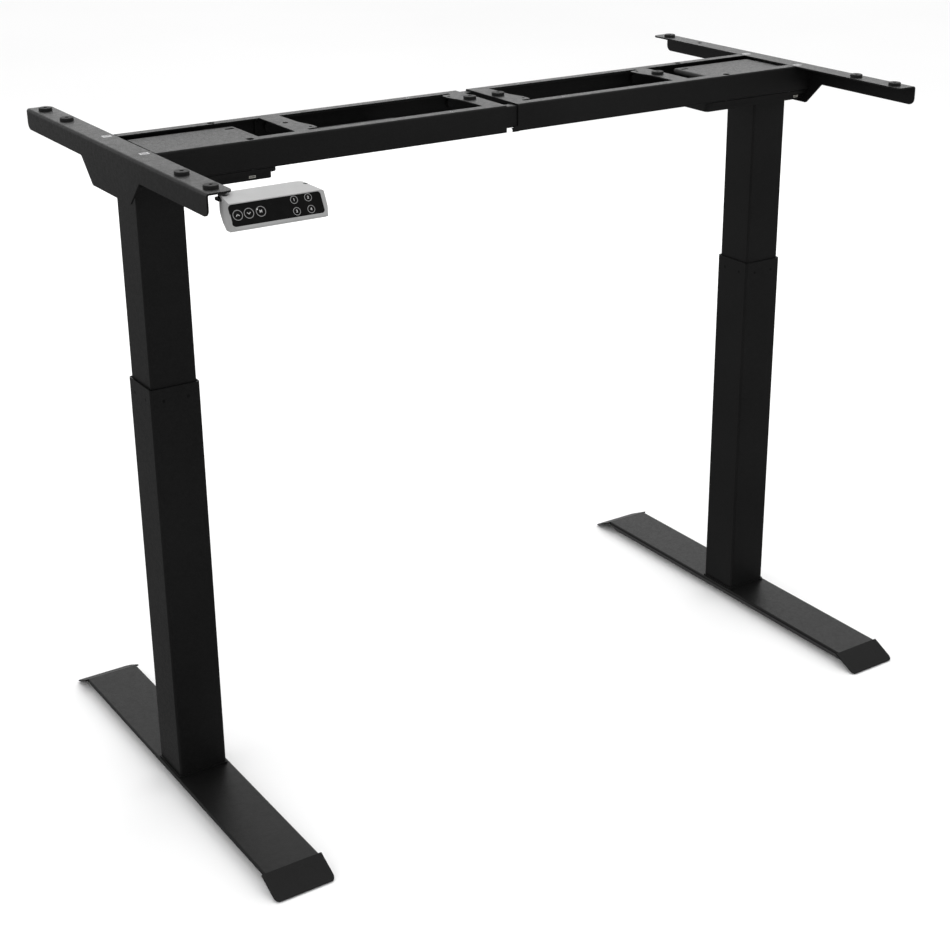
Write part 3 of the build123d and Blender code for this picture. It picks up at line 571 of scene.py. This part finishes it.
def ink(name, bright, dim):
    """Screen-printed ink, a little uneven."""
    material, shader, place = new_finish(name)
    dots = stretched(noise(place, INK_DOTS, 2.0), 0.35, 0.6)
    feed(shader, "Base Color", colours(dots, dim, bright))
    feed(shader, "Roughness", dots * 0.1 + 0.35)
    feed(shader, "Normal", relief(dots, 0.1, 0.0001))
    return material


ring_ink = ink("grey_ink", (0.27, 0.27, 0.27), (0.18, 0.18, 0.18))
mark_ink = ink("white_ink", (0.5, 0.5, 0.5), (0.36, 0.36, 0.36))


def on_panel(obj, name, x, down, material):
    """Moves a piece drawn flat at the world's middle to a place on the key panel."""
    obj.name = name
    spot = PANEL_TOP - PANEL_UP * (down * MM) + PANEL_OUT * INK_LIFT
    spot.x = x * MM
    turn = Matrix((Vector((1, 0, 0)), PANEL_UP, PANEL_OUT)).transposed().to_4x4()
    obj.data.transform(Matrix.Translation(spot) @ turn @ obj.matrix_world)
    obj.matrix_world = Matrix.Identity(4)
    obj.data.materials.clear()
    obj.data.materials.append(material)
    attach(obj, "left_frame")
    bpy.ops.object.select_all(action="DESELECT")


def ring(name, x, down, radius, line):
    """Flat printed ring: a disc, inset and emptied, then given the ink's thickness."""
    bpy.ops.mesh.primitive_circle_add(vertices=72, radius=radius * MM, fill_type="NGON")
    made = bpy.context.object
    bpy.ops.object.mode_set(mode="EDIT")
    bpy.ops.mesh.select_all(action="SELECT")
    bpy.ops.mesh.inset(thickness=line * MM)
    bpy.ops.mesh.delete(type="FACE")
    bpy.ops.mesh.select_all(action="SELECT")
    bpy.ops.mesh.extrude_region_move(TRANSFORM_OT_translate={"value": (0, 0, INK_THICKNESS)})
    bpy.ops.mesh.select_all(action="SELECT")
    bpy.ops.mesh.normals_make_consistent(inside=False)
    bpy.ops.object.mode_set(mode="OBJECT")
    on_panel(made, name, x, down, ring_ink)


ARM_LENGTH, ARM_WIDTH, ARM_ANGLE, ARM_REACH = 3.2, 0.85, 40.0, 1.0


def stroke(angle, place):
    """One straight printed arm of an arrow."""
    bpy.ops.mesh.primitive_cube_add(size=1.0)
    made = bpy.context.object
    size = Matrix.Diagonal((ARM_LENGTH * MM, ARM_WIDTH * MM, INK_THICKNESS, 1.0))
    spot = Matrix.Translation((place[0] * MM, place[1] * MM, INK_THICKNESS / 2))
    made.data.transform(spot @ Matrix.Rotation(math.radians(angle), 4, "Z") @ size)
    return made


def chevron(name, x, down, way):
    """Arrow without a shaft, pointing up where way is 1 and down where it is -1."""
    first = stroke(ARM_ANGLE * way, (-ARM_REACH, 0.0))
    second = stroke(-ARM_ANGLE * way, (ARM_REACH, 0.0))
    first.select_set(True)
    second.select_set(True)
    bpy.context.view_layer.objects.active = first
    bpy.ops.object.join()
    on_panel(bpy.context.object, name, x, down, mark_ink)


MARK_SIZE, MARK_WEIGHT = 4.6, 0.12


def lettering(name, words, x, down):
    """One printed letter or numeral."""
    bpy.ops.object.text_add()
    made = bpy.context.object
    made.data.body = words
    made.data.size = MARK_SIZE * MM
    made.data.align_x = "CENTER"
    made.data.align_y = "CENTER"
    made.data.extrude = INK_THICKNESS / 2
    made.data.offset = MARK_WEIGHT * MM
    bpy.ops.object.convert(target="MESH")
    on_panel(bpy.context.object, name, x, down, mark_ink)


# Places on the panel: x, and how far down from the top edge.
UP_KEY, DOWN_KEY, MEMORY_KEY = (-570.1, 13.3), (-555.7, 13.0), (-540.3, 13.0)
PRESETS = {"1": (-495.1, 5.7), "2": (-476.4, 5.4), "3": (-495.1, 19.8), "4": (-476.1, 19.9)}
LAMP_PLACE, LAMP_RADIUS = (-544.4, 9.9), 0.95
MAIN_RING, PRESET_RING = (6.3, 0.75), (4.85, 0.65)

for name, place in (("up", UP_KEY), ("down", DOWN_KEY), ("memory", MEMORY_KEY)):
    ring(f"key_ring_{name}", *place, *MAIN_RING)
for name, place in PRESETS.items():
    ring(f"key_ring_{name}", *place, *PRESET_RING)
    lettering(f"key_mark_{name}", name, *place)
chevron("key_mark_up", *UP_KEY, 1)
chevron("key_mark_down", *DOWN_KEY, -1)
lettering("key_mark_memory", "M", *MEMORY_KEY)

bpy.ops.mesh.primitive_circle_add(vertices=32, radius=LAMP_RADIUS * MM, fill_type="NGON")
lamp = bpy.context.object
bpy.ops.object.mode_set(mode="EDIT")
bpy.ops.mesh.extrude_region_move(TRANSFORM_OT_translate={"value": (0, 0, INK_THICKNESS * 2)})
bpy.ops.mesh.select_all(action="SELECT")
bpy.ops.mesh.normals_make_consistent(inside=False)
bpy.ops.object.mode_set(mode="OBJECT")
on_panel(lamp, "memory_lamp", *LAMP_PLACE, mark_ink)

# ---------------------------------------------------------------------------
# Studio: a pale painted floor, soft light all round, one large softbox overhead
# and one behind the frame, and the camera.

FLOOR_SIZE = 120.0
FLOOR_DARK, FLOOR_LIGHT, ROLLER_MARKS = (0.95, 0.95, 0.95), (0.97, 0.97, 0.97), 0.6

bpy.ops.mesh.primitive_plane_add(size=FLOOR_SIZE)
floor = bpy.context.object
floor.name = "studio_floor"
paint, floor_shader, floor_place = new_finish("studio_floor_paint")
roller = stretched(noise(floor_place, ROLLER_MARKS), 0.3, 0.7)
feed(floor_shader, "Base Color", colours(roller, FLOOR_DARK, FLOOR_LIGHT))
floor_shader.inputs["Roughness"].default_value = 0.95
floor_shader.inputs["Specular IOR Level"].default_value = 0.05
floor.data.materials.append(paint)
floor.visible_glossy = False
floor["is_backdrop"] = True

# The air is darker below the horizon than above it, by the height looked at.
LOW_AIR, HIGH_AIR = (0.26, 0.26, 0.26), (1.0, 1.0, 1.0)
DARK_BELOW, LIGHT_ABOVE = -0.22, -0.02

air = bpy.data.worlds.new("studio_air")
air.use_nodes = True
air_tree = air.node_tree
direction = Signal(air_tree, air_tree.nodes.new("ShaderNodeTexCoord").outputs["Generated"])
height = stretched(axis_of(direction, "Z"), DARK_BELOW, LIGHT_ABOVE)
feed(air_tree.nodes["Background"], "Color", colours(height, LOW_AIR, HIGH_AIR))
bpy.context.scene.world = air
bpy.context.scene.view_settings.view_transform = "Standard"


def softbox(name, place, aim, size, power):
    """Large flat light, in metres and watts, turned towards a point."""
    bpy.ops.object.light_add(type="AREA", location=place)
    light = bpy.context.object
    light.name = name
    light.data.shape = "RECTANGLE"
    light.data.size, light.data.size_y = size
    light.data.energy = power
    light.rotation_euler = (Vector(aim) - Vector(place)).to_track_quat("-Z", "Y").to_euler()


softbox("overhead_softbox", (0.3, 0.6, 4.2), (0, 0, 0), (5.0, 4.0), 46.0)
softbox("back_softbox", (2.2, 3.2, 1.9), (0, 0, 0.6), (5.0, 2.2), 35.0)

CAMERA_PLACE = Vector((-1.4165, -2.1464, 1.4705))
LENS, SENSOR, SHIFT = 66.28, 36.0, (-0.0576, -0.0763)
AZIMUTH, ELEVATION, ROLL = (math.radians(angle) for angle in (-34.89, 21.05, 0.14))
camera_back = Vector(
    (
        math.sin(AZIMUTH) * math.cos(ELEVATION),
        -math.cos(AZIMUTH) * math.cos(ELEVATION),
        math.sin(ELEVATION),
    )
)
bpy.ops.object.camera_add(location=CAMERA_PLACE)
camera = bpy.context.object
camera.name = "studio_camera"
turn = (-camera_back).to_track_quat("-Z", "Y").to_matrix() @ Matrix.Rotation(ROLL, 3, "Z")
camera.rotation_euler = turn.to_euler()
camera.data.lens = LENS
camera.data.sensor_width = SENSOR
camera.data.shift_x, camera.data.shift_y = SHIFT
camera.data.dof.use_dof = False
bpy.context.scene.camera = camera

low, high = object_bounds()
